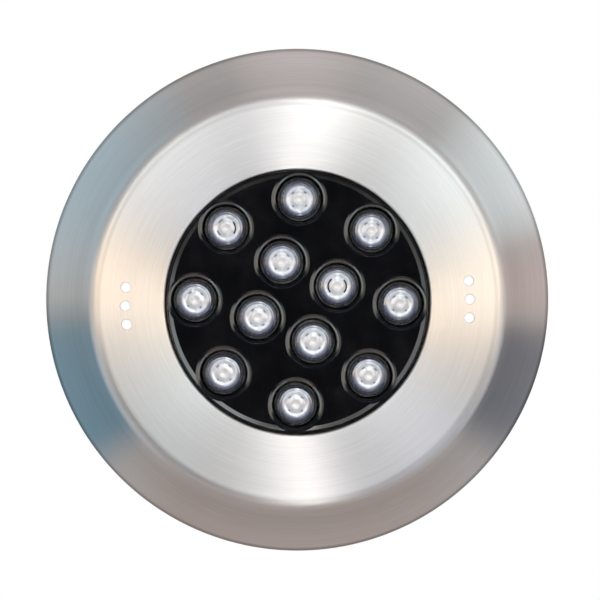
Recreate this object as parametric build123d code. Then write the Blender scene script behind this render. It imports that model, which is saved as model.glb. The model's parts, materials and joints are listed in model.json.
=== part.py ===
from build123d import *
import math
import os

# Surface mounted pool light: a wall bracket, and a lamp that twists onto it.
# Millimetres. Pieces are drawn lying on the wall: z is the height above the wall,
# y is up the wall. They are turned at the end, so that +Z is up and the face looks to -Y.

# Faceplate, one spun sheet
RIM_DIAMETER = 270.0
RIM_HEIGHT = 8.0
FACE_HEIGHT = 43.0
SHEET = 1.5
FLAT_DIAMETER = 208.0
KNEE_BEND = 8.0
OPENING_DIAMETER = 138.2
LIP_BEND = 2.0
LIP_GAP = 0.7
RIM_CHAMFER = 0.6

# The two groups of small holes at the sides of the face
VENT_DIAMETER = 5.2
VENT_CIRCLE = 178.6
VENT_COUNT = 3
VENT_PITCH_ANGLE = 6.15
VENT_TURN = 1.1

# Wall bracket, cut and bent from plate
BRACKET_PLATE = 2.5
HUB_SETBACK = 5.0
EAR_WIDTH = 24.0
CABLE_HOLE_DIAMETER = 44.0
WALL_HOLE_CIRCLE = 120.0
WALL_HOLE_DIAMETER = 5.2
ARM_COUNT = 3
ARM_ANGLE = 90.0
ARM_WIDTH = 25.0
ARM_RISE = 7.0
ARM_TIP = 10.0
ARM_CORNER = 4.0
ARM_BEND = 1.0
RISER_CLEARANCE = 3.5
PAD_WIDTH = 6.0
PAD_LENGTH = 15.0
PAD_THICKNESS = 1.7
PAD_GAP = 0.3

# Headed studs of the twist lock, welded to the back of the housing
LOCK_CIRCLE = 120.0
LOCK_NECK_DIAMETER = 6.0
LOCK_HEAD_DIAMETER = 11.0
LOCK_HEAD_THICKNESS = 2.2
LOCK_SIDE_CLEARANCE = 0.2
LOCK_HEAD_CLEARANCE = 0.3
SLOT_RUN_OUT_ANGLE = 20.0

# Window, its gasket and the ring that clamps it
GLASS_MARGIN = 6.9
GLASS_THICKNESS = 4.0
GASKET_THICKNESS = 0.8
GASKET_BITE = 3.4
SEAT_CLEARANCE = 0.2
SEAT_DEPTH = 1.9
CLAMP_HEIGHT = 5.5
LIP_CLEARANCE = 0.6

# Housing, a turned cup with a flange
SEAT_WIDTH = 5.0
HOUSING_WALL = 3.0
HOUSING_FLOOR = 3.5
HOUSING_BACK_CHAMFER = 2.5
FLANGE_THICKNESS = 4.0
FLANGE_EDGE = 4.5
FIXING_INSET = 4.5
POCKET_WALL = 2.5
POCKET_ROOM = 1.75

# Fixings through the flange: three screws for the clamp ring, three studs for the faceplate
FIXING_COUNT = 3
FACE_STUD_ANGLE = 90.0
CLAMP_SCREW_ANGLE = 30.0
M4_DIAMETER = 4.0
M4_CLEARANCE = 0.2
NUT_WIDTH = 7.0
NUT_THICKNESS = 3.2
STUD_PROUD = 1.8
SCREW_HEAD_DIAMETER = 7.0
SCREW_HEAD_HEIGHT = 2.8
SCREW_HEAD_CLEARANCE = 0.2
SOCKET_WIDTH = 3.0
SOCKET_DEPTH = 1.6
THREAD_CLEARANCE = 0.05

# Lenses and their lamps
ARRAY_TURN = -1.0
OUTER_LENS_COUNT = 8
OUTER_LENS_INSET = 14.2
INNER_LENS_COUNT = 4
INNER_LENS_RADIUS = 22.4
INNER_LENS_ANGLE = 22.5
LENS_DIAMETER = 21.0
LENS_BASE_DIAMETER = 8.6
LENS_RECESS = 4.3
LED_SIZE = 3.5
LED_THICKNESS = 0.9
LED_CLEARANCE = 0.4

# Circuit board and what stands on it
BOARD_CLEARANCE = 0.6
BOARD_THICKNESS = 1.6
THERMAL_PAD_DIAMETER = 100.0
THERMAL_PAD_THICKNESS = 0.5
POCKET_CLEARANCE = 1.0
DRIVER_RADIUS = 31.0
DRIVER_LENGTH = 20.0
DRIVER_WIDTH = 16.0
DRIVER_HEADROOM = 3.1
TERMINAL_RADIUS = 22.0
TERMINAL_LENGTH = 10.0
TERMINAL_WIDTH = 7.0
TERMINAL_HEIGHT = 5.0

# Black panel around the lenses
PANEL_GAP = 1.1
PANEL_THICKNESS = 5.6
PLATEAU_GAP = 1.1
PLATEAU_EDGE = 1.6
GROOVE_DEPTH = 3.3
PANEL_SKIRT = 1.5
PANEL_RIM = 1.0
WELL_FOOT_CLEARANCE = 0.8
WELL_FLARE = 2.7

# Cable gland at the centre of the back
GLAND_THREAD_DIAMETER = 12.0
GLAND_HEX_WIDTH = 16.0
GLAND_HEX_THICKNESS = 4.5
GLAND_NUT_THICKNESS = 3.5
GLAND_THREAD_PROUD = 1.0
GLAND_SPIGOT_WALL = 1.5
GLAND_HEADROOM = 3.2
GLAND_WALL_GAP = 1.5
GLAND_CAP_FLOOR = 2.5
GLAND_CAP_GAP = 0.5
GLAND_SEAL_DIAMETER = 10.2
GLAND_SEAL_PROUD = 2.5
CABLE_DIAMETER = 6.4
CABLE_CLEARANCE = 0.4

# Heights above the wall, from the bracket up to the board
arm_top = ARM_RISE + BRACKET_PLATE
housing_back = arm_top + PAD_THICKNESS + PAD_GAP
floor_top = housing_back + HOUSING_FLOOR
board_back = floor_top + THERMAL_PAD_THICKNESS
board_face = board_back + BOARD_THICKNESS

# Heights above the wall, from the face down to the lenses
face_back = FACE_HEIGHT - SHEET
flange_top = face_back - CLAMP_HEIGHT
flange_back = flange_top - FLANGE_THICKNESS
seat_height = flange_top - SEAT_DEPTH
glass_back = seat_height + GASKET_THICKNESS
glass_front = glass_back + GLASS_THICKNESS
gasket_front = glass_front + GASKET_THICKNESS
panel_top = glass_back - PANEL_GAP
panel_underside = panel_top - PANEL_THICKNESS
lens_front = panel_top - LENS_RECESS
screw_seat = face_back - SCREW_HEAD_CLEARANCE - SCREW_HEAD_HEIGHT

# Heights of the gland: its thread ends under the panel, and its cap stops short of the wall
gland_thread_end = panel_underside - GLAND_HEADROOM
gland_nut_top = gland_thread_end - GLAND_THREAD_PROUD
pocket_top = gland_nut_top - GLAND_NUT_THICKNESS
pocket_ceiling = pocket_top - POCKET_WALL
gland_hex_back = pocket_ceiling - GLAND_HEX_THICKNESS
gland_cap_floor = GLAND_WALL_GAP + GLAND_CAP_FLOOR
gland_spigot_end = gland_cap_floor + GLAND_SEAL_PROUD

# Radii, from the opening out to the flange
opening_radius = OPENING_DIAMETER / 2
lip_radius = opening_radius + SHEET
plateau_radius = opening_radius - PLATEAU_GAP
glass_radius = opening_radius + GLASS_MARGIN
gasket_radius = glass_radius + GASKET_THICKNESS
seat_radius = gasket_radius + SEAT_CLEARANCE
bore_radius = seat_radius - SEAT_WIDTH
board_radius = bore_radius - BOARD_CLEARANCE
fixing_radius = seat_radius + FIXING_INSET
flange_radius = fixing_radius + FLANGE_EDGE

# Radii of the bracket, the gland's pocket and the lenses
lock_radius = LOCK_CIRCLE / 2
riser_radius = lock_radius - LOCK_HEAD_DIAMETER / 2 - RISER_CLEARANCE
hub_radius = riser_radius - HUB_SETBACK
pocket_radius = GLAND_HEX_WIDTH / math.sqrt(3) + POCKET_ROOM
pocket_outer_radius = pocket_radius + POCKET_WALL
board_hole_radius = pocket_outer_radius + POCKET_CLEARANCE
lens_radius = LENS_DIAMETER / 2
outer_lens_circle_radius = plateau_radius - OUTER_LENS_INSET
lens_step = 360 / OUTER_LENS_COUNT
arm_step = 360 / ARM_COUNT


def turned(*edges):
    """Solid turned about the lamp's axis from a closed outline of (radius, height)."""
    return revolve(Plane.XZ * make_face(edges), Axis.Z)


def turned_polygon(*points):
    """Solid turned about the lamp's axis from the corners of its outline."""
    return turned(Polyline(*points, close=True))


def disc(radius, low, high):
    """Round bar or hole about the lamp's axis, between two heights."""
    return Pos(0, 0, low) * Cylinder(radius, high - low, align=(Align.CENTER, Align.CENTER, Align.MIN))


def ring(outer, inner, low, high):
    """Flat ring between two radii and two heights."""
    return disc(outer, low, high) - disc(inner, low, high)


def hexagon(width, low, high):
    """Hexagonal prism of a given width across its flats."""
    outline = RegularPolygon(width / 2, 6, major_radius=False)
    return Pos(0, 0, low) * extrude(outline, high - low)


def block(length, width, low, high):
    """Rectangular block standing between two heights."""
    return Pos(0, 0, low) * Box(length, width, high - low, align=(Align.CENTER, Align.CENTER, Align.MIN))


def around(shape, radius, count, angle):
    """Copies of a shape, evenly spaced on a circle about the lamp's axis."""
    return [Rot(Z=angle + 360 * k / count) * Pos(radius, 0, 0) * shape for k in range(count)]


def group(shapes):
    """Loose pieces of one kind, kept together as separate solids."""
    return Compound([solid for shape in shapes for solid in shape.solids()])


def faceplate():
    """Flat face with a rolled lip at the opening, a bent knee and a conical rim."""
    rim = Vector(RIM_DIAMETER / 2, RIM_HEIGHT)
    knee = Vector(FLAT_DIAMETER / 2, FACE_HEIGHT - KNEE_BEND)
    reach = rim - knee
    slope = math.atan2(-reach.Y, reach.X) + math.asin(KNEE_BEND / reach.length)
    outward = Vector(math.sin(slope), math.cos(slope))
    along = Vector(math.cos(slope), -math.sin(slope))
    edge = rim + (along - outward) * RIM_CHAMFER
    edge_back = rim + along * RIM_CHAMFER - outward * SHEET
    knee_inner = KNEE_BEND - SHEET
    lip_foot = glass_front + LIP_GAP
    lip_top = FACE_HEIGHT - LIP_BEND
    plate = turned(
        Line((opening_radius, lip_foot), (opening_radius, lip_top)),
        RadiusArc((opening_radius, lip_top), (opening_radius + LIP_BEND, FACE_HEIGHT), LIP_BEND),
        Line((opening_radius + LIP_BEND, FACE_HEIGHT), (knee.X, FACE_HEIGHT)),
        RadiusArc((knee.X, FACE_HEIGHT), knee + outward * KNEE_BEND, KNEE_BEND),
        Line(knee + outward * KNEE_BEND, rim),
        Line(rim, edge),
        Line(edge, edge_back),
        Line(edge_back, knee + outward * knee_inner),
        RadiusArc(knee + outward * knee_inner, (knee.X, face_back), -knee_inner),
        Line((knee.X, face_back), (lip_radius, face_back)),
        Line((lip_radius, face_back), (lip_radius, lip_foot)),
        Line((lip_radius, lip_foot), (opening_radius, lip_foot)),
    )
    vent = Pos(VENT_CIRCLE / 2, 0, 0) * disc(VENT_DIAMETER / 2, face_back, FACE_HEIGHT)
    middle = (VENT_COUNT - 1) / 2
    for side in (0, 180):
        for k in range(VENT_COUNT):
            plate -= Rot(Z=side + VENT_TURN + VENT_PITCH_ANGLE * (k - middle)) * vent
    return plate


def faceplate_studs():
    """Threaded studs welded to the back of the faceplate."""
    stud = disc(M4_DIAMETER / 2, flange_back - NUT_THICKNESS - STUD_PROUD, face_back)
    return group(around(stud, fixing_radius, FIXING_COUNT, FACE_STUD_ANGLE))


def faceplate_nuts():
    """Hexagon nuts on the faceplate's studs, behind the flange."""
    low = flange_back - NUT_THICKNESS
    nut = hexagon(NUT_WIDTH, low, flange_back)
    nut -= disc(M4_DIAMETER / 2 + THREAD_CLEARANCE, low, flange_back)
    return group(around(nut, fixing_radius, FIXING_COUNT, FACE_STUD_ANGLE))


def lamp_housing():
    """Turned cup with a front flange, a seat for the window and a pocket for the gland."""
    wall = bore_radius + HOUSING_WALL
    gland_hole = GLAND_THREAD_DIAMETER / 2 + SEAT_CLEARANCE
    cup = turned_polygon(
        (gland_hole, pocket_ceiling),
        (pocket_radius, pocket_ceiling),
        (pocket_radius, housing_back),
        (wall - HOUSING_BACK_CHAMFER, housing_back),
        (wall, housing_back + HOUSING_BACK_CHAMFER),
        (wall, flange_back),
        (flange_radius, flange_back),
        (flange_radius, flange_top),
        (seat_radius, flange_top),
        (seat_radius, seat_height),
        (bore_radius, seat_height),
        (bore_radius, floor_top),
        (pocket_outer_radius, floor_top),
        (pocket_outer_radius, pocket_top),
        (gland_hole, pocket_top),
    )
    tapped = disc(M4_DIAMETER / 2 + THREAD_CLEARANCE, flange_back, flange_top)
    clear = disc(M4_DIAMETER / 2 + M4_CLEARANCE, flange_back, flange_top)
    cup -= around(tapped, fixing_radius, FIXING_COUNT, CLAMP_SCREW_ANGLE)
    return cup - around(clear, fixing_radius, FIXING_COUNT, FACE_STUD_ANGLE)


def lock_studs():
    """Headed studs on the housing's back, which the bracket's slots take hold of."""
    head_top = ARM_RISE - LOCK_HEAD_CLEARANCE
    neck = disc(LOCK_NECK_DIAMETER / 2, head_top, housing_back)
    head = disc(LOCK_HEAD_DIAMETER / 2, head_top - LOCK_HEAD_THICKNESS, head_top)
    return group(around(neck + head, lock_radius, ARM_COUNT, ARM_ANGLE))


def hook_arm():
    """One arm along +X: bent up from the hub, then flat, with a slot open at one side."""
    middle = BRACKET_PLATE / 2
    strip = FilletPolyline(
        (hub_radius - BRACKET_PLATE, middle),
        (riser_radius - middle, middle),
        (riser_radius - middle, ARM_RISE + middle),
        (lock_radius + ARM_TIP, ARM_RISE + middle),
        radius=ARM_BEND + middle,
    )
    arm = extrude(Plane.XZ * trace(strip, BRACKET_PLATE), ARM_WIDTH / 2, both=True)
    tips = arm.edges().filter_by(Axis.Z).group_by(Axis.X)[-1]
    arm = fillet(tips, ARM_CORNER)
    track = CenterArc((0, 0), lock_radius, 0, SLOT_RUN_OUT_ANGLE)
    slot = SlotArc(track, LOCK_NECK_DIAMETER + 2 * LOCK_SIDE_CLEARANCE)
    return arm - Pos(0, 0, ARM_RISE) * extrude(slot, BRACKET_PLATE)


def wall_bracket():
    """Flat hub with ears for the wall screws and arms that hold the lamp's studs."""
    ear = Pos(WALL_HOLE_CIRCLE / 4, 0) * SlotCenterToCenter(WALL_HOLE_CIRCLE / 2, EAR_WIDTH)
    hole = Pos(WALL_HOLE_CIRCLE / 2, 0) * Circle(WALL_HOLE_DIAMETER / 2)
    arm = hook_arm()
    turns = [Rot(Z=ARM_ANGLE + arm_step * k) for k in range(ARM_COUNT)]
    half_step = Rot(Z=arm_step / 2)
    plate = Circle(hub_radius) + [turn * half_step * ear for turn in turns]
    plate -= Circle(CABLE_HOLE_DIAMETER / 2)
    plate -= [turn * half_step * hole for turn in turns]
    return extrude(plate, BRACKET_PLATE) + [turn * arm for turn in turns]


def bracket_pads():
    """Rubber pads on the arms, beside the slots' closed ends, for the housing's back."""
    pad = block(PAD_LENGTH, PAD_WIDTH, arm_top, arm_top + PAD_THICKNESS)
    pad = Pos(0, (PAD_WIDTH - ARM_WIDTH) / 2 + PAD_GAP, 0) * pad
    return group(around(pad, lock_radius, ARM_COUNT, ARM_ANGLE))


def window_glass():
    """Flat round window."""
    return disc(glass_radius, glass_back, glass_front)


def window_gasket():
    """Rubber channel around the window's edge; its back leg reaches in over the panel's rim."""
    grip = glass_radius - GASKET_BITE
    foot = board_radius - PANEL_RIM
    return turned_polygon(
        (foot, seat_height),
        (gasket_radius, seat_height),
        (gasket_radius, gasket_front),
        (grip, gasket_front),
        (grip, glass_front),
        (glass_radius, glass_front),
        (glass_radius, glass_back),
        (foot, glass_back),
    )


def clamp_ring():
    """Ring that presses the window and its gasket onto the housing's seat."""
    bore = lip_radius + LIP_CLEARANCE
    body = turned_polygon(
        (bore, gasket_front),
        (seat_radius, gasket_front),
        (seat_radius, flange_top),
        (flange_radius, flange_top),
        (flange_radius, face_back),
        (bore, face_back),
    )
    clear = disc(M4_DIAMETER / 2 + M4_CLEARANCE, flange_top, face_back)
    stepped = clear + disc(SCREW_HEAD_DIAMETER / 2 + M4_CLEARANCE, screw_seat, face_back)
    body -= around(stepped, fixing_radius, FIXING_COUNT, CLAMP_SCREW_ANGLE)
    return body - around(clear, fixing_radius, FIXING_COUNT, FACE_STUD_ANGLE)


def clamp_screws():
    """Low head socket screws that draw the clamp ring to the flange."""
    top = screw_seat + SCREW_HEAD_HEIGHT
    screw = disc(M4_DIAMETER / 2, flange_back, screw_seat)
    screw += disc(SCREW_HEAD_DIAMETER / 2, screw_seat, top)
    screw -= hexagon(SOCKET_WIDTH, top - SOCKET_DEPTH, top)
    return group(around(screw, fixing_radius, FIXING_COUNT, CLAMP_SCREW_ANGLE))


def lens_places():
    """The lenses' places on the panel, first the outer circle and then the inner one."""
    circles = (
        (OUTER_LENS_COUNT, outer_lens_circle_radius, ARRAY_TURN),
        (INNER_LENS_COUNT, INNER_LENS_RADIUS, ARRAY_TURN + INNER_LENS_ANGLE),
    )
    return [
        Rot(Z=angle + 360 * k / count) * Pos(radius, 0, 0)
        for count, radius, angle in circles
        for k in range(count)
    ]


def lens():
    """Collimator: a cone that widens to a flat front, over a pocket for its LED."""
    body = turned_polygon(
        (0, board_face),
        (LENS_BASE_DIAMETER / 2, board_face),
        (lens_radius, lens_front),
        (0, lens_front),
    )
    pocket = LED_SIZE + 2 * LED_CLEARANCE
    return body - block(pocket, pocket, board_face, board_face + LED_THICKNESS + LED_CLEARANCE)


def led():
    """LED package on the board."""
    return block(LED_SIZE, LED_SIZE, board_face, board_face + LED_THICKNESS)


def lens_panel():
    """Moulded panel: plateau with a conical well for each lens, groove, rim and skirt."""
    groove = panel_top - GROOVE_DEPTH
    skirt = board_radius - PANEL_SKIRT
    rim = board_radius - PANEL_RIM
    panel = turned_polygon(
        (0, panel_underside),
        (skirt, panel_underside),
        (skirt, board_face),
        (board_radius, board_face),
        (board_radius, seat_height),
        (rim, seat_height),
        (rim, groove),
        (plateau_radius, groove),
        (plateau_radius, panel_top - PLATEAU_EDGE),
        (plateau_radius - PLATEAU_EDGE, panel_top),
        (0, panel_top),
    )
    foot = lens_radius + WELL_FOOT_CLEARANCE
    well = turned_polygon(
        (0, panel_underside),
        (foot, panel_underside),
        (foot + WELL_FLARE, panel_top),
        (0, panel_top),
    )
    return panel - [place * well for place in lens_places()]


def led_board():
    """Round circuit board around the gland's pocket."""
    return ring(board_radius, board_hole_radius, board_back, board_face)


def thermal_pad():
    """Heat conducting pad between the board and the housing's floor."""
    return ring(THERMAL_PAD_DIAMETER / 2, board_hole_radius, floor_top, board_back)


def driver_module():
    """Potted current driver on the board, between the lenses."""
    body = block(DRIVER_LENGTH, DRIVER_WIDTH, board_face, panel_underside - DRIVER_HEADROOM)
    return Rot(Z=ARRAY_TURN - lens_step / 2) * Pos(DRIVER_RADIUS, 0, 0) * body


def terminal_block():
    """Terminal block on the board for the cable's two wires."""
    body = block(TERMINAL_WIDTH, TERMINAL_LENGTH, board_face, board_face + TERMINAL_HEIGHT)
    return Rot(Z=ARRAY_TURN + 1.5 * lens_step) * Pos(TERMINAL_RADIUS, 0, 0) * body


def gland_body():
    """Cable gland's body: thread through the pocket's ceiling, hexagon and spigot."""
    seal = GLAND_SEAL_DIAMETER / 2
    body = disc(GLAND_THREAD_DIAMETER / 2, pocket_ceiling, gland_thread_end)
    body += hexagon(GLAND_HEX_WIDTH, gland_hex_back, pocket_ceiling)
    body += disc(seal + GLAND_SPIGOT_WALL, gland_spigot_end, gland_hex_back)
    body -= disc((CABLE_DIAMETER + CABLE_CLEARANCE) / 2, gland_hex_back, gland_thread_end)
    return body - disc(seal + THREAD_CLEARANCE, gland_spigot_end, gland_hex_back)


def gland_seal():
    """Rubber sleeve that the gland squeezes onto the cable."""
    return ring(GLAND_SEAL_DIAMETER / 2, CABLE_DIAMETER / 2, gland_cap_floor, gland_hex_back)


def gland_cap():
    """Cap nut that screws onto the gland's spigot."""
    top = gland_hex_back - GLAND_CAP_GAP
    spigot = GLAND_SEAL_DIAMETER / 2 + GLAND_SPIGOT_WALL
    cap = hexagon(GLAND_HEX_WIDTH, GLAND_WALL_GAP, top)
    cap -= disc(spigot + THREAD_CLEARANCE, gland_cap_floor, top)
    return cap - disc((CABLE_DIAMETER + CABLE_CLEARANCE) / 2, GLAND_WALL_GAP, gland_cap_floor)


def gland_locknut():
    """Nut on the gland's thread, inside the housing."""
    nut = hexagon(GLAND_HEX_WIDTH, pocket_top, gland_nut_top)
    return nut - disc(GLAND_THREAD_DIAMETER / 2 + THREAD_CLEARANCE, pocket_top, gland_nut_top)


PIECES = {
    "wall_bracket": wall_bracket(),
    "bracket_pads": bracket_pads(),
    "faceplate": faceplate(),
    "faceplate_studs": faceplate_studs(),
    "faceplate_nuts": faceplate_nuts(),
    "clamp_ring": clamp_ring(),
    "clamp_screws": clamp_screws(),
    "window_glass": window_glass(),
    "window_gasket": window_gasket(),
    "lens_panel": lens_panel(),
    "lenses": group([place * lens() for place in lens_places()]),
    "led_board": led_board(),
    "thermal_pad": thermal_pad(),
    "driver_module": driver_module(),
    "terminal_block": terminal_block(),
    "lamp_housing": lamp_housing(),
    "lock_studs": lock_studs(),
    "gland_body": gland_body(),
    "gland_cap": gland_cap(),
    "gland_seal": gland_seal(),
    "gland_locknut": gland_locknut(),
}
for number, place in enumerate(lens_places(), start=1):
    PIECES[f"led_{number:02d}"] = place * led()

os.makedirs("parts", exist_ok=True)
for node, shape in PIECES.items():
    export_step(Rot(X=90) * shape, f"parts/{node}.step")
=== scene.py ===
"""Looks of the surface mount pool light, dressed around its CAD frame.

Profiles are pairs of (radius, height) in millimetres. Height is measured from the wall
towards the viewer, so a point at height h lies at y = -h. Angles run from +X towards +Z.
"""
import json
import math
import random

import bmesh
import bpy
from mathutils import Matrix, Vector


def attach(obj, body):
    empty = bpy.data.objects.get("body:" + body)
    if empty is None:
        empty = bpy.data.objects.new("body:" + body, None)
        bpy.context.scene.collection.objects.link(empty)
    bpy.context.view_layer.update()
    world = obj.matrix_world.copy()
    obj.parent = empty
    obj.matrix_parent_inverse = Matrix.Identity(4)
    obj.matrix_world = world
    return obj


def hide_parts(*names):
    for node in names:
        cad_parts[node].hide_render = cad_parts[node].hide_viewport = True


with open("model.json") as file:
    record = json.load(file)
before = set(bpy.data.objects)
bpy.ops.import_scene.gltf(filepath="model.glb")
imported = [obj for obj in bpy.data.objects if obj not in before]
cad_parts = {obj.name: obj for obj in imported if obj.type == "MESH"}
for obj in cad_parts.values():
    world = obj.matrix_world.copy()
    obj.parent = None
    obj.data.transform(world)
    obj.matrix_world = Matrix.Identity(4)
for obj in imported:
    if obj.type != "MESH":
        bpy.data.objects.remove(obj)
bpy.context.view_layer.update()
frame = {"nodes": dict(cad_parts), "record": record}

MM = 0.001
LAMP = "lamp"
WHITE = (1.0, 1.0, 1.0, 1.0)

# Camera: metres from the face, direction, lens in millimetres, and its aim off the centre
CAMERA_DISTANCE = 0.900
CAMERA_ELEVATION = math.radians(1.734)
CAMERA_AZIMUTH = math.radians(-0.241)
CAMERA_LENS = 104.312
SENSOR_WIDTH = 36.0
AIM_OFFSET = Vector((0.001208, 0.0, 0.001393))

# Faceplate
RIM_RADIUS = 135.0
RIM_HEIGHT = 8.0
FACE_HEIGHT = 43.0
SHEET = 1.5
FLAT_RADIUS = 102.7
KNEE_BEND = 8.5
OPENING_RADIUS = 69.1
LIP_BEND = 0.7
LIP_FOOT = 39.6
RIM_CHAMFER = 0.6
VENT_RADIUS = 2.6
VENT_CHAMFER = 0.2
VENT_CIRCLE_RADIUS = 89.3
VENT_TURN = 1.1
VENT_STEP = 6.15
VENT_ANGLES = [side + VENT_TURN + step for side in (0, 180) for step in (-VENT_STEP, 0, VENT_STEP)]

# Panel and lenses
BOARD_FACE = 17.1
BOARD_RADIUS = 71.4
SEAT_HEIGHT = 34.1
PANEL_UNDERSIDE = 28.2
PANEL_TOP = 33.8
PANEL_SKIRT = 1.5
PANEL_RIM = 1.0
GROOVE_HEIGHT = 30.5
PLATEAU_RADIUS = 68.0
WELL_FOOT_RADIUS = 11.3
LENS_FRONT = 29.5
LENS_RADIUS = 10.5
LENS_ROLL = 0.3
LENS_BASE_RADIUS = 4.3
LED_ROOM_RADIUS = 3.1
LED_ROOM_HEIGHT = 1.3
OPTIC_RADIUS = 9.7
OPTIC_DEPTH = 1.3
CLIP_INNER_RADIUS = 4.40
CLIP_OUTER_RADIUS = 5.15
CLIP_DEPTH = 0.55
CLIP_THICKNESS = 0.5
LONG_CLIP_ANGLE = 60
FIT_GAP = 0.02

# Edge of the plateau, as pairs of (inset, drop), and mouth of a well, as pairs of (radius,
# depth): two bevels with a fine step between them
PLATEAU_SLOPE = [(0, 0.80), (0.15, 0.38), (0.5, 0.105), (2.45, 0.008), (2.6, 0), (2.8, 0)]
WELL_MOUTH = [(12.50, 1.34), (12.60, 1.22), (13.50, 0.61), (13.60, 0.48), (14.60, 0.03)]

# Centres of the lenses, as pairs of (radius, angle)
OUTER_LENSES = [(53.8, -1 + 45 * k) for k in range(8)]
INNER_LENSES = [(22.4, 21.5 + 90 * k) for k in range(4)]
LENS_PLACES = OUTER_LENSES + INNER_LENSES

# Steps round a turned mesh
FACE_STEPS = 384
PANEL_STEPS = 256
WELL_STEPS = 96
LENS_STEPS = 72
VENT_STEPS = 40

# Edges sharper than this, in degrees, look sharp
SHARP_ANGLE = 32
PANEL_SHARP_ANGLE = 13


def arc(centre, radius, start, end, count):
    """Points on an arc of a profile; angles in degrees from the radius axis towards the front."""
    points = []
    for k in range(count + 1):
        angle = math.radians(start + (end - start) * k / count)
        points.append((centre[0] + radius * math.cos(angle), centre[1] + radius * math.sin(angle)))
    return points


def cosine(degrees):
    """Cosine of an angle in degrees."""
    return math.cos(math.radians(degrees))


def new_object(name, mesh, sharp=SHARP_ANGLE):
    """Links a mesh as a named object, smooth except at edges sharper than an angle in degrees."""
    for face in mesh.polygons:
        face.use_smooth = True
    mesh.set_sharp_from_angle(angle=math.radians(sharp))
    piece = bpy.data.objects.new(name, mesh)
    bpy.context.scene.collection.objects.link(piece)
    return piece


def lathe_mesh(name, profile, steps, closed=False):
    """Mesh turned about the axis from a profile, which may close on itself or end on the axis."""
    mesh = bpy.data.meshes.new(name)
    bm = bmesh.new()
    rings = []
    for radius, height in profile:
        if radius < 1e-6:
            rings.append([bm.verts.new((0, -height * MM, 0))])
            continue
        ring = []
        for k in range(steps):
            angle = 2 * math.pi * k / steps
            ring.append(bm.verts.new(
                (radius * MM * math.cos(angle), -height * MM, radius * MM * math.sin(angle))))
        rings.append(ring)
    pairs = list(zip(rings, rings[1:]))
    if closed:
        pairs.append((rings[-1], rings[0]))
    for first, second in pairs:
        for k in range(steps):
            after = (k + 1) % steps
            corners = [first[k % len(first)], first[after % len(first)],
                       second[after % len(second)], second[k % len(second)]]
            bm.faces.new(list(dict.fromkeys(corners)))
    bmesh.ops.recalc_face_normals(bm, faces=bm.faces)
    bm.to_mesh(mesh)
    bm.free()
    return mesh


def place(radius, angle):
    """Transform that moves something from the lamp's axis out to a point of the face."""
    turn = math.radians(angle)
    return Matrix.Translation((radius * MM * math.cos(turn), 0, radius * MM * math.sin(turn)))


def joined(name, meshes):
    """One mesh from several (mesh, transform) pairs."""
    bm = bmesh.new()
    for mesh, move in meshes:
        part = bmesh.new()
        part.from_mesh(mesh)
        part.transform(move)
        copy = bpy.data.meshes.new("part")
        part.to_mesh(copy)
        part.free()
        bm.from_mesh(copy)
        bpy.data.meshes.remove(copy)
    result = bpy.data.meshes.new(name)
    bm.to_mesh(result)
    bm.free()
    return result


def carved(name, body, cutters):
    """Mesh of a body with the cutters' meshes taken out of it."""
    block = bpy.data.objects.new("block", body)
    tool = bpy.data.objects.new("tool", cutters)
    for thing in (block, tool):
        bpy.context.scene.collection.objects.link(thing)
    cut = block.modifiers.new("cut", "BOOLEAN")
    cut.operation = "DIFFERENCE"
    cut.solver = "EXACT"
    cut.object = tool
    graph = bpy.context.evaluated_depsgraph_get()
    mesh = bpy.data.meshes.new_from_object(block.evaluated_get(graph))
    mesh.name = name
    bpy.data.objects.remove(block)
    bpy.data.objects.remove(tool)
    return mesh


def material(name, colour, roughness, metallic=0.0):
    """Principled material; returns it with its node tree and shader."""
    made = bpy.data.materials.new(name)
    made.use_nodes = True
    shader = made.node_tree.nodes["Principled BSDF"]
    shader.inputs["Base Color"].default_value = (*colour, 1)
    shader.inputs["Roughness"].default_value = roughness
    shader.inputs["Metallic"].default_value = metallic
    return made, made.node_tree, shader


def node(tree, kind, inputs=None, **settings):
    """Adds a node; inputs are constants, or sockets to link from."""
    made = tree.nodes.new(kind)
    for key, value in settings.items():
        setattr(made, key, value)
    for key, value in (inputs or {}).items():
        if isinstance(value, bpy.types.NodeSocket):
            tree.links.new(value, made.inputs[key])
        else:
            made.inputs[key].default_value = value
    return made


def maths(tree, operation, *values):
    """Output of a Math node on constants or sockets."""
    return node(tree, "ShaderNodeMath", dict(enumerate(values)), operation=operation).outputs[0]


def ramp(tree, source, low, high, out_low=0.0, out_high=1.0):
    """Clamped linear map of a value."""
    mapped = node(tree, "ShaderNodeMapRange", {
        "Value": source, "From Min": low, "From Max": high,
        "To Min": out_low, "To Max": out_high})
    return mapped.outputs["Result"]


def noise(tree, vector, scale, detail=3.0, roughness=0.5):
    """Noise value over a vector."""
    made = node(tree, "ShaderNodeTexNoise", {
        "Vector": vector, "Scale": scale, "Detail": detail, "Roughness": roughness})
    return made.outputs["Fac"]


def mix_colour(tree, factor, first, second, blend="MIX"):
    """Mix of two colours, each a constant or a socket."""
    made = node(tree, "ShaderNodeMix", data_type="RGBA", blend_type=blend)
    for index, value in ((0, factor), (6, first), (7, second)):
        if isinstance(value, bpy.types.NodeSocket):
            tree.links.new(value, made.inputs[index])
        else:
            made.inputs[index].default_value = value
    return made.outputs[2]


def bump(tree, shader, height, distance, strength):
    """Bump from a height value on a shader's normal."""
    made = node(tree, "ShaderNodeBump", {
        "Height": height, "Distance": distance, "Strength": strength})
    tree.links.new(made.outputs[0], shader.inputs["Normal"])


def object_spot(tree):
    """A point in its object's own coordinates."""
    return node(tree, "ShaderNodeTexCoord").outputs["Object"]


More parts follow.
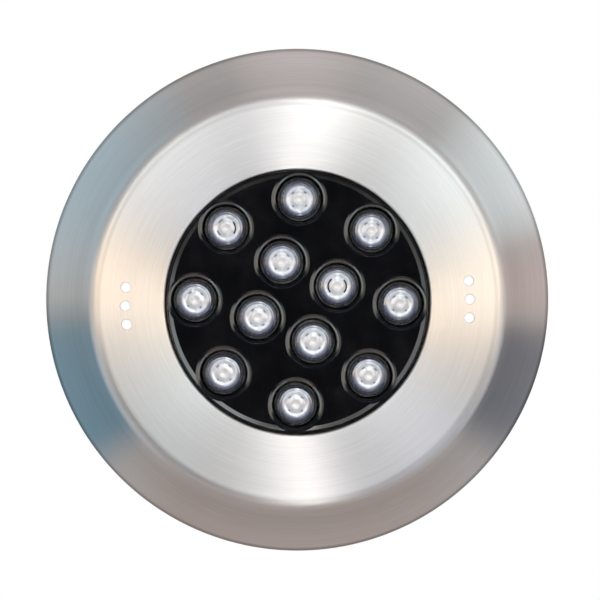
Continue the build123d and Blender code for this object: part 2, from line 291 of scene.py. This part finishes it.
def split(tree, vector):
    """A vector's parts, and its distance from the Y axis."""
    parts = node(tree, "ShaderNodeSeparateXYZ", {"Vector": vector}).outputs
    squares = [maths(tree, "MULTIPLY", parts[axis], parts[axis]) for axis in ("X", "Z")]
    return parts, maths(tree, "SQRT", maths(tree, "ADD", *squares))


def tone_rings(tree, radius, tones):
    """Colour by radius, from pairs of (radius in millimetres, colour)."""
    start, end = tones[0][0], tones[-1][0]
    made = node(tree, "ShaderNodeValToRGB", {"Fac": ramp(tree, radius, start * MM, end * MM)})
    stops = made.color_ramp.elements
    while len(stops) < len(tones):
        stops.new(0.5)
    for stop, (at, tone) in zip(stops, tones):
        stop.position = (at - start) / (end - start)
        stop.color = (*tone, 1)
    return made.outputs["Color"]


# Painted shade on the steel, by radius: darker at the knee, down the cone and at the rim's edge,
# standing in for the dark reflections there
STEEL_PAINTED_SHADE = [(98, 1.0), (101.6, 1.0), (102.5, 0.86), (103.5, 0.76), (105.2, 0.96), (109, 0.93),
                (113, 0.86), (118, 0.89), (131, 1.0), (132.6, 1.0), (134.2, 0.55)]


def brushed_steel():
    """Steel brushed in rings about the lamp's axis, with long fine scratches and painted shade by
    radius.
    """
    made, tree, shader = material("brushed_face", (0.70, 0.69, 0.68), 0.42, 1.0)
    spot = object_spot(tree)
    parts, radius = split(tree, spot)
    angle = maths(tree, "ARCTAN2", parts["Z"], parts["X"])

    def ringed(across, along):
        """Coordinates drawn out along the rings, from steps across them and along them."""
        return node(tree, "ShaderNodeCombineXYZ", {
            "X": maths(tree, "MULTIPLY", radius, across),
            "Y": maths(tree, "MULTIPLY", maths(tree, "SINE", angle), along),
            "Z": maths(tree, "MULTIPLY", maths(tree, "COSINE", angle), along)}).outputs[0]

    grain = noise(tree, ringed(1800.0, 1.6), 1.0, 4.0, 0.65)
    lines = noise(tree, ringed(700.0, 4.0), 1.0, 2.0, 0.5)
    cloud = noise(tree, spot, 9.0, 2.0, 0.5)
    tone = mix_colour(tree, ramp(tree, grain, 0.25, 0.75),
                      (0.66, 0.65, 0.645, 1), (0.76, 0.755, 0.75, 1))
    tone = mix_colour(tree, ramp(tree, lines, 0.60, 0.78, 0, 0.35), tone, (0.86, 0.855, 0.85, 1))
    tone = mix_colour(tree, ramp(tree, cloud, 0.35, 0.70, 0, 0.12), tone, (0.60, 0.61, 0.62, 1))
    # painted shade: the steel's colour is darkened by radius at the knee, down the cone and at the
    # rim's edge
    painted_shade = [(at, (level, level, level)) for at, level in STEEL_PAINTED_SHADE]
    tone = mix_colour(tree, 1.0, tone, tone_rings(tree, radius, painted_shade), "MULTIPLY")
    tree.links.new(tone, shader.inputs["Base Color"])
    tree.links.new(ramp(tree, grain, 0.2, 0.8, 0.27, 0.33), shader.inputs["Roughness"])
    shader.inputs["Anisotropic"].default_value = 0.95
    shader.inputs["Anisotropic Rotation"].default_value = 0.25
    tangent = node(tree, "ShaderNodeTangent", direction_type="RADIAL", axis="Y")
    tree.links.new(tangent.outputs[0], shader.inputs["Tangent"])
    bump(tree, shader, grain, 0.00002, 0.35)
    return made


def steel(name, colour, roughness, scale):
    """Plain stainless steel with a faint mill grain."""
    made, tree, shader = material(name, colour, roughness, 1.0)
    spot = object_spot(tree)
    grain = noise(tree, node(tree, "ShaderNodeMapping", {
        "Vector": spot, "Scale": (1.0, 1.0, 14.0)}).outputs[0], scale, 3.0)
    cloud = noise(tree, spot, 30.0, 3.0)
    dark = tuple(0.82 * value for value in colour)
    light = tuple(min(1.12 * value, 1.0) for value in colour)
    tone = mix_colour(tree, ramp(tree, grain, 0.3, 0.7), (*dark, 1), (*light, 1))
    tree.links.new(tone, shader.inputs["Base Color"])
    tree.links.new(ramp(tree, cloud, 0.3, 0.7, roughness - 0.07, roughness + 0.10),
                   shader.inputs["Roughness"])
    bump(tree, shader, grain, 0.00004, 0.3)
    return made


def moulded(name, colour, roughness):
    """Moulded plastic or rubber with a fine grain and slightly uneven gloss."""
    made, tree, shader = material(name, colour, roughness)
    spot = object_spot(tree)
    grain = noise(tree, spot, 2500.0, 2.0)
    cloud = noise(tree, spot, 40.0, 3.0)
    light = tuple(min(1.25 * value + 0.002, 1.0) for value in colour)
    tone = mix_colour(tree, ramp(tree, cloud, 0.3, 0.7), (*colour, 1), (*light, 1))
    tree.links.new(tone, shader.inputs["Base Color"])
    tree.links.new(ramp(tree, cloud, 0.3, 0.7, roughness * 0.9, roughness * 1.15),
                   shader.inputs["Roughness"])
    bump(tree, shader, grain, 0.00003, 0.4)
    return made


def gloss_black():
    """Glossy black moulding of the panel, with faint flow marks."""
    made, tree, shader = material("panel_black", (0.002, 0.002, 0.0025), 0.08)
    spot = object_spot(tree)
    flow = noise(tree, spot, 60.0, 3.0, 0.55)
    tone = mix_colour(tree, ramp(tree, flow, 0.35, 0.7),
                      (0.0007, 0.0007, 0.0010, 1), (0.0017, 0.0018, 0.0026, 1))
    tree.links.new(tone, shader.inputs["Base Color"])
    tree.links.new(ramp(tree, flow, 0.3, 0.7, 0.05, 0.10), shader.inputs["Roughness"])
    shader.inputs["IOR"].default_value = 2.5
    bump(tree, shader, flow, 0.00001, 0.2)
    return made


def lens_shell_plastic():
    """Clear plastic that looks dark blue over the black well."""
    made, tree, shader = material("lens_shell", (0.010, 0.012, 0.020), 0.15)
    spot = object_spot(tree)
    flow = noise(tree, spot, 500.0, 2.0)
    tone = mix_colour(tree, ramp(tree, flow, 0.3, 0.7),
                      (0.008, 0.010, 0.017, 1), (0.016, 0.019, 0.030, 1))
    tree.links.new(tone, shader.inputs["Base Color"])
    tree.links.new(ramp(tree, flow, 0.3, 0.7, 0.10, 0.20), shader.inputs["Roughness"])
    return made


# Tones of the moulded front, by radius, mostly painted reflection: the bright rings paint the light
# that the silvery inside of the collimator sends through it, and the dark blue outer rings are the
# clear plastic over the black well
OPTIC_PAINTED_REFLECTION = [
    (0.0, (0.91, 0.92, 0.95)), (1.2, (0.96, 0.96, 0.97)), (2.1, (0.92, 0.93, 0.96)),
    (2.8, (0.74, 0.75, 0.84)), (3.6, (0.74, 0.77, 0.86)), (4.4, (0.75, 0.78, 0.89)),
    (5.1, (0.74, 0.78, 0.90)), (5.9, (0.78, 0.82, 0.93)), (6.4, (0.73, 0.79, 0.91)),
    (6.9, (0.46, 0.51, 0.64)), (7.4, (0.22, 0.25, 0.35)), (7.9, (0.12, 0.15, 0.245)),
    (8.4, (0.024, 0.043, 0.11)), (9.0, (0.006, 0.012, 0.050)), (9.7, (0.005, 0.012, 0.036)),
]


def optic_plastic():
    """Moulded front of a lens, in rings of tone that are mostly painted reflection, with the glints
    of its facets.
    """
    made, tree, shader = material("lens_optic", (0.9, 0.9, 0.9), 0.12)
    spot = object_spot(tree)
    patches = noise(tree, spot, 700.0, 3.0, 0.6)
    sway = ramp(tree, patches, 0.3, 0.7, -0.00016, 0.00016)
    shifted = maths(tree, "ADD", split(tree, spot)[1], sway)
    # painted reflection: rings of tone, wobbled and patched greyer by noise, stand in for the
    # collimator's inner reflections
    mottled = mix_colour(tree, ramp(tree, patches, 0.45, 0.75, 0, 0.30),
                         tone_rings(tree, shifted, OPTIC_PAINTED_REFLECTION), (0.40, 0.40, 0.44, 1))
    tree.links.new(mottled, shader.inputs["Base Color"])
    tree.links.new(ramp(tree, patches, 0.3, 0.7, 0.08, 0.20), shader.inputs["Roughness"])
    shader.inputs["Coat Weight"].default_value = 1.0
    shader.inputs["Coat IOR"].default_value = 2.0
    shader.inputs["Coat Roughness"].default_value = 0.08
    bump(tree, shader, patches, 0.00015, 0.45)
    return made


def clear_glass():
    """Clear window, faintly dusty in places."""
    made, tree, shader = material("window_glass", (0.97, 0.985, 0.98), 0.0)
    spot = object_spot(tree)
    dust = noise(tree, spot, 300.0, 4.0, 0.6)
    tree.links.new(ramp(tree, dust, 0.55, 0.80, 0.0, 0.03), shader.inputs["Roughness"])
    shader.inputs["Transmission Weight"].default_value = 1.0
    shader.inputs["IOR"].default_value = 1.30
    return made


def build_faceplate():
    """Spun and brushed faceplate with rolled lip, soft knee, conical rim and six vents."""
    rim = Vector((RIM_RADIUS, RIM_HEIGHT))
    knee = Vector((FLAT_RADIUS, FACE_HEIGHT - KNEE_BEND))
    reach = rim - knee
    slope = math.atan2(-reach.y, reach.x) + math.asin(KNEE_BEND / reach.length)
    outward = Vector((math.sin(slope), math.cos(slope)))
    along = Vector((math.cos(slope), -math.sin(slope)))
    turn = 90 - math.degrees(slope)
    edge = rim + (along - outward) * RIM_CHAMFER
    edge_back = rim + along * RIM_CHAMFER - outward * SHEET
    profile = [(OPENING_RADIUS, LIP_FOOT)]
    profile += arc((OPENING_RADIUS + LIP_BEND, FACE_HEIGHT - LIP_BEND), LIP_BEND, 180, 90, 8)
    profile += arc(tuple(knee), KNEE_BEND, 90, turn, 14)
    top = Vector(profile[-1])
    profile += [tuple(top.lerp(rim, k / 6)) for k in range(1, 7)]
    profile += [tuple(edge), tuple(edge_back)]
    profile += arc(tuple(knee), KNEE_BEND - SHEET, turn, 90, 10)
    profile += [(OPENING_RADIUS + SHEET, FACE_HEIGHT - SHEET), (OPENING_RADIUS + SHEET, LIP_FOOT)]
    body = lathe_mesh("faceplate_body", profile, FACE_STEPS, closed=True)
    below = FACE_HEIGHT - SHEET - 1
    above = FACE_HEIGHT + 2 * VENT_CHAMFER
    bore = [(0, below), (VENT_RADIUS, below), (VENT_RADIUS, FACE_HEIGHT - VENT_CHAMFER),
            (VENT_RADIUS + 3 * VENT_CHAMFER, above), (0, above)]
    drill = lathe_mesh("drill", bore, VENT_STEPS)
    drills = joined("drills", [(drill, place(VENT_CIRCLE_RADIUS, angle)) for angle in VENT_ANGLES])
    piece = new_object("face_shell", carved("face_shell", body, drills))
    piece.data.materials.append(brushed_steel())
    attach(piece, LAMP)
    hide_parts("faceplate")


def build_panel():
    """Black panel: plateau with twelve bevelled wells, groove, rim and skirt."""
    skirt = BOARD_RADIUS - PANEL_SKIRT
    groove = BOARD_RADIUS - PANEL_RIM
    profile = [(0, PANEL_UNDERSIDE), (skirt, PANEL_UNDERSIDE), (skirt, BOARD_FACE),
               (BOARD_RADIUS, BOARD_FACE), (BOARD_RADIUS, SEAT_HEIGHT), (groove, SEAT_HEIGHT),
               (groove, GROOVE_HEIGHT), (PLATEAU_RADIUS, GROOVE_HEIGHT)]
    profile += [(PLATEAU_RADIUS - inset, PANEL_TOP - drop) for inset, drop in PLATEAU_SLOPE]
    profile.append((0, PANEL_TOP))
    body = lathe_mesh("panel_body", profile, PANEL_STEPS)
    below = PANEL_UNDERSIDE - 1
    above = PANEL_TOP + 0.3
    well = [(0, below), (WELL_FOOT_RADIUS, below), (WELL_FOOT_RADIUS, PANEL_UNDERSIDE + 0.3)]
    well += [(radius, PANEL_TOP - depth) for radius, depth in WELL_MOUTH]
    well += [(WELL_MOUTH[-1][0], above), (0, above)]
    cutter = lathe_mesh("well", well, WELL_STEPS)
    cutters = joined("wells", [(cutter, place(*spot)) for spot in LENS_PLACES])
    piece = new_object("panel_shell", carved("panel_shell", body, cutters), PANEL_SHARP_ANGLE)
    piece.data.materials.append(gloss_black())
    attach(piece, LAMP)
    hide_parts("lens_panel")


def lens_shell_profile():
    """Collimator's cone with its rolled rim, and a recess over the LED."""
    ceiling = BOARD_FACE + LED_ROOM_HEIGHT
    foot = BOARD_FACE + FIT_GAP
    bed = LENS_FRONT - OPTIC_DEPTH
    profile = [(0, ceiling), (LED_ROOM_RADIUS, ceiling), (LED_ROOM_RADIUS, foot),
               (LENS_BASE_RADIUS, foot), (LENS_RADIUS, LENS_FRONT - LENS_ROLL - 0.1)]
    profile += arc((LENS_RADIUS - LENS_ROLL, LENS_FRONT - LENS_ROLL), LENS_ROLL, 10, 90, 4)
    return profile + [(OPTIC_RADIUS + 0.1, LENS_FRONT), (OPTIC_RADIUS + FIT_GAP, bed), (0, bed)]


def optic_profile():
    """Moulded front of a collimator: a dimple and a valley ring; depths below the rim."""
    relief = [(0, 0.80), (0.5, 0.77), (1.0, 0.68), (1.5, 0.54), (1.9, 0.40), (2.2, 0.32),
              (2.5, 0.30), (2.9, 0.34), (3.5, 0.50), (4.2, 0.70), (4.7, 0.83), (5.0, 0.85),
              (5.3, 0.79), (5.8, 0.65), (6.2, 0.54), (6.5, 0.50), (6.7, 0.51), (7.0, 0.57),
              (7.4, 0.69), (8.2, 0.93), (8.35, 0.96), (8.6, 0.86), (9.1, 0.50), (9.45, 0.16),
              (OPTIC_RADIUS, 0.08)]
    bed = LENS_FRONT - OPTIC_DEPTH + FIT_GAP
    profile = [(radius, LENS_FRONT - depth) for radius, depth in relief]
    return profile + [(OPTIC_RADIUS, bed), (0, bed)]


def arc_block(name, inner, outer, low, high, start, end, steps):
    """Closed block bent round the lens's axis, between two radii, heights and angles."""
    mesh = bpy.data.meshes.new(name)
    bm = bmesh.new()
    sections = []
    for k in range(steps + 1):
        angle = math.radians(start + (end - start) * k / steps)
        corners = ((inner, low), (outer, low), (outer, high), (inner, high))
        sections.append([
            bm.verts.new((r * MM * math.cos(angle), -h * MM, r * MM * math.sin(angle)))
            for r, h in corners])
    for first, second in zip(sections, sections[1:]):
        for k in range(4):
            bm.faces.new((first[k], first[k - 1], second[k - 1], second[k]))
    bm.faces.new(sections[0])
    bm.faces.new(reversed(sections[-1]))
    bmesh.ops.recalc_face_normals(bm, faces=bm.faces)
    bm.to_mesh(mesh)
    bm.free()
    return mesh


def lens_clips(number):
    """Angles of the small clips round a lens's eye; two lenses show longer ones."""
    if number == 9:
        return [(-42, 44), (128, 222)]
    if number == 4:
        return [(-36, 42), (196, 232), (112, 146)]
    turn = random.uniform(-7, 7)
    return [(middle + turn - half, middle + turn + half)
            for middle, half in ((48, 11), (132, 11), (226, 7), (314, 7))]


def build_lenses():
    """Twelve collimators: a dark shell, a moulded front made bright by painted reflection and small
    clips round its eye.
    """
    random.seed(7)
    shell_finish = lens_shell_plastic()
    optic_finish = optic_plastic()
    clip_finish = moulded("lens_clip", (0.22, 0.22, 0.235), 0.30)
    long_clip_finish = moulded("lens_clip_long", (0.012, 0.011, 0.011), 0.25)
    for number, (radius, angle) in enumerate(LENS_PLACES, start=1):
        parts = [("shell", lathe_mesh("lens_shell", lens_shell_profile(), LENS_STEPS), shell_finish),
                 ("optic", lathe_mesh("lens_optic", optic_profile(), LENS_STEPS), optic_finish)]
        top = LENS_FRONT - CLIP_DEPTH
        for count, (start, end) in enumerate(lens_clips(number), start=1):
            clip = arc_block("lens_clip", CLIP_INNER_RADIUS, CLIP_OUTER_RADIUS,
                             top - CLIP_THICKNESS, top, start, end, 10)
            long = end - start > LONG_CLIP_ANGLE
            parts.append((f"clip_{count}", clip, long_clip_finish if long else clip_finish))
        for label, mesh, finish in parts:
            piece = new_object(f"lens_{number:02d}_{label}", mesh)
            piece.data.materials.append(finish)
            piece.matrix_world = place(radius, angle)
            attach(piece, LAMP)
    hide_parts("lenses")


def dress_cad_nodes():
    """Procedural materials for the CAD nodes that are carried over."""
    finishes = {
        "bracket_steel": steel("bracket_steel", (0.60, 0.60, 0.59), 0.38, 90.0),
        "inner_steel": steel("inner_steel", (0.55, 0.55, 0.54), 0.34, 120.0),
        "fastener_steel": steel("fastener_steel", (0.62, 0.62, 0.61), 0.28, 200.0),
        "window_glass": clear_glass(),
        "black_rubber": moulded("black_rubber", (0.018, 0.018, 0.019), 0.62),
        "led_package": moulded("led_package", (0.80, 0.74, 0.45), 0.40),
        "board_white": moulded("board_white", (0.75, 0.75, 0.73), 0.45),
        "pad_grey": moulded("pad_grey", (0.35, 0.36, 0.38), 0.75),
        "driver_black": moulded("driver_black", (0.03, 0.03, 0.03), 0.5),
        "terminal_green": moulded("terminal_green", (0.05, 0.25, 0.12), 0.45),
        "gland_black": moulded("gland_black", (0.030, 0.030, 0.032), 0.45),
    }
    slots = {row["node"]: row["material_slot"] for row in frame["record"]["subparts"]}
    for name, body in frame["nodes"].items():
        finish = finishes.get(slots[name])
        if finish is None:
            continue
        body.data.materials.clear()
        body.data.materials.append(finish)
    glass = frame["nodes"]["window_glass"]
    glass.visible_shadow = False
    glass.visible_diffuse = False
    glass.visible_glossy = False


def build_camera():
    """Camera at the photograph's angle."""
    data = bpy.data.cameras.new("camera")
    data.lens = CAMERA_LENS
    data.sensor_width = SENSOR_WIDTH
    camera = bpy.data.objects.new("camera", data)
    bpy.context.scene.collection.objects.link(camera)
    face = Vector((0, -FACE_HEIGHT * MM, 0))
    away = Vector((math.sin(CAMERA_AZIMUTH) * math.cos(CAMERA_ELEVATION),
                   -math.cos(CAMERA_AZIMUTH) * math.cos(CAMERA_ELEVATION),
                   math.sin(CAMERA_ELEVATION)))
    camera.location = face + away * CAMERA_DISTANCE
    aim = face + AIM_OFFSET
    camera.rotation_euler = (aim - camera.location).to_track_quat("-Z", "Y").to_euler()
    bpy.context.scene.camera = camera


# The studio, as cards of light on a sphere round the object: azimuth seen from the front,
# half widths of the core and of the whole card, polar angles from the front axis, and colour
CARDS = [
    # room at the sides, which the cone reflects
    (267, 42, 68, 78, 180, (0.90, 0.88, 0.88)),
    (265, 16, 30, 78, 150, (0.38, 0.22, 0.17)),
    (50, 10, 30, 78, 150, (0.64, 0.62, 0.61)),
    (30, 6, 20, 78, 150, (1.03, 1.11, 1.13)),
    (90, 3, 18, 78, 150, (0.77, 0.69, 0.68)),
    (152, 5, 34, 78, 150, (0.50, 0.67, 0.77)),
    (203, 13, 22, 76, 150, (0.05, 0.22, 0.33)),
    (338, 9, 21, 76, 150, (0.06, 0.07, 0.11)),
    (3, 4, 12, 78, 150, (0.62, 0.50, 0.49)),
    # narrow low windows between dark bands, which the bevels of the panel's wells reflect
    (90, 84, 90, 36, 38, (0.04, 0.04, 0.04)),
    (90, 84, 90, 42, 53, (0.020, 0.024, 0.035)),
    (90, 84, 90, 57, 58, (1.90, 1.70, 1.64)),
    (90, 84, 90, 62, 74, (0.020, 0.024, 0.035)),
    (270, 80, 90, 42, 56, (0.03, 0.035, 0.05)),
    (270, 80, 90, 60, 61, (1.90, 2.05, 2.10)),
    (270, 70, 80, 65, 76, (0.22, 0.28, 0.40)),
    (184, 16, 34, 43, 52, (0.36, 0.37, 0.37)),
    (356, 16, 34, 43, 52, (0.78, 0.75, 0.72)),
    (203, 24, 46, 64, 72, (1.05, 1.07, 1.08)),
    (335, 24, 44, 64, 72, (0.88, 0.87, 0.86)),
    (180, 5, 14, 64, 72, (1.10, 0.96, 0.80)),
    (0, 5, 14, 64, 72, (0.95, 0.83, 0.68)),
    # soft light in front, which the flat ring reflects
    (90, 180, 181, 11, 26, (0.05, 0.05, 0.06)),
    (270, 86, 96, 15, 26, (0.45, 0.50, 0.62)),
    (84, 76, 94, 15, 26, (3.90, 3.97, 3.86)),
    (2, 3, 20, 15, 26, (5.90, 5.02, 3.95)),
    (177, 7, 18, 15, 26, (5.34, 4.15, 2.95)),
    (81, 3, 9, 15, 26, (8.2, 8.1, 7.9)),
    (274, 2, 6, 15, 26, (8.8, 8.5, 8.3)),
    (310, 7, 13, 15, 26, (1.60, 1.68, 2.05)),
    (232, 20, 36, 15, 26, (0.04, 0.04, 0.06)),
    (105, 4, 12, 15, 26, (2.50, 2.48, 2.58)),
    (35, 8, 18, 15, 26, (4.70, 5.10, 5.15)),
    # two strips of light, which the slope at the plateau's edge reflects
    (215, 34, 44, 8, 12, (1.35, 1.40, 1.46)),
    (338, 22, 32, 8, 12, (0.80, 0.80, 0.84)),
]
CARD_SOFTNESS = 4
ROOM_LEVEL = (0.50, 0.47, 0.46)

# Dark room round the camera: its colour, and the polar angles between which it fades out
CAMERA_ZONE = (0.014, 0.015, 0.018)
CAMERA_ZONE_FULL = 8
CAMERA_ZONE_END = 11

# Floor, in metres: it is fully there within one distance of its middle and gone past another
FLOOR_RADIUS = 0.42
FLOOR_PLACE = (0, -0.01, -0.29)
FLOOR_FULL = 0.13
FLOOR_END = 0.40
FLOOR_COLOUR = (0.77, 0.64, 0.58)
FLOOR_GLOW = 0.42


def polar_band(tree, front, near, far):
    """1 between two polar angles, given the cosine of the polar angle."""
    starts = ramp(tree, front, cosine(near - CARD_SOFTNESS), cosine(near))
    ends = ramp(tree, front, cosine(far + CARD_SOFTNESS), cosine(far))
    return maths(tree, "MULTIPLY", starts, ends)


def build_world():
    """Soft studio on the world: white behind the object, cards of light round it."""
    world = bpy.data.worlds.new("studio")
    bpy.context.scene.world = world
    world.use_nodes = True
    tree = world.node_tree
    tree.nodes.clear()
    parts, reach = split(tree, node(tree, "ShaderNodeTexCoord").outputs["Generated"])
    front = maths(tree, "MULTIPLY", parts["Y"], -1.0)
    across = maths(tree, "DIVIDE", parts["X"], reach)
    up = maths(tree, "DIVIDE", parts["Z"], reach)

    def card(below, azimuth, core, edge, near, far, colour):
        """Lays one card of light over what is below it."""
        turn = math.radians(azimuth)
        facing = maths(tree, "ADD", maths(tree, "MULTIPLY", across, math.cos(turn)),
                       maths(tree, "MULTIPLY", up, math.sin(turn)))
        width = ramp(tree, facing, cosine(edge), cosine(core))
        mask = maths(tree, "MULTIPLY", width, polar_band(tree, front, near, far))
        return mix_colour(tree, mask, below, (*colour, 1))

    light = (*ROOM_LEVEL, 1)
    for row in CARDS:
        light = card(light, *row)
    near_camera = ramp(tree, front, cosine(CAMERA_ZONE_END), cosine(CAMERA_ZONE_FULL))
    light = mix_colour(tree, near_camera, light, (*CAMERA_ZONE, 1))
    path = node(tree, "ShaderNodeLightPath").outputs
    behind = ramp(tree, front, -0.75, -0.90)
    straight = maths(tree, "MAXIMUM", path["Is Camera Ray"], path["Is Transmission Ray"])
    mirrored = maths(tree, "MULTIPLY", path["Is Glossy Ray"], behind)
    light = mix_colour(tree, maths(tree, "MAXIMUM", straight, mirrored), light, WHITE)
    surface = node(tree, "ShaderNodeBackground", {"Color": light, "Strength": 1.0}).outputs[0]
    tree.links.new(surface, node(tree, "ShaderNodeOutputWorld").inputs["Surface"])


def build_floor():
    """Pale floor below the object, which keeps its shadow and fades out round it."""
    mesh = bpy.data.meshes.new("floor")
    bm = bmesh.new()
    bmesh.ops.create_circle(bm, cap_ends=True, segments=96, radius=FLOOR_RADIUS)
    bm.to_mesh(mesh)
    bm.free()
    floor = bpy.data.objects.new("floor", mesh)
    bpy.context.scene.collection.objects.link(floor)
    floor.location = FLOOR_PLACE
    made, tree, shader = material("floor", FLOOR_COLOUR, 0.9)
    shader.inputs["Specular IOR Level"].default_value = 0.0
    spot = object_spot(tree)
    distance = node(tree, "ShaderNodeVectorMath", {0: spot}, operation="LENGTH").outputs["Value"]
    tree.links.new(ramp(tree, distance, FLOOR_END, FLOOR_FULL), shader.inputs["Alpha"])
    # the camera sees it paler than the object does
    seen = node(tree, "ShaderNodeLightPath").outputs["Is Camera Ray"]
    shader.inputs["Emission Color"].default_value = (0.92, 0.95, 1.0, 1)
    tree.links.new(maths(tree, "MULTIPLY", seen, FLOOR_GLOW), shader.inputs["Emission Strength"])
    mesh.materials.append(made)


build_camera()
build_world()
build_floor()
build_faceplate()
build_panel()
build_lenses()
dress_cad_nodes()

bpy.context.scene.view_settings.view_transform = "Standard"
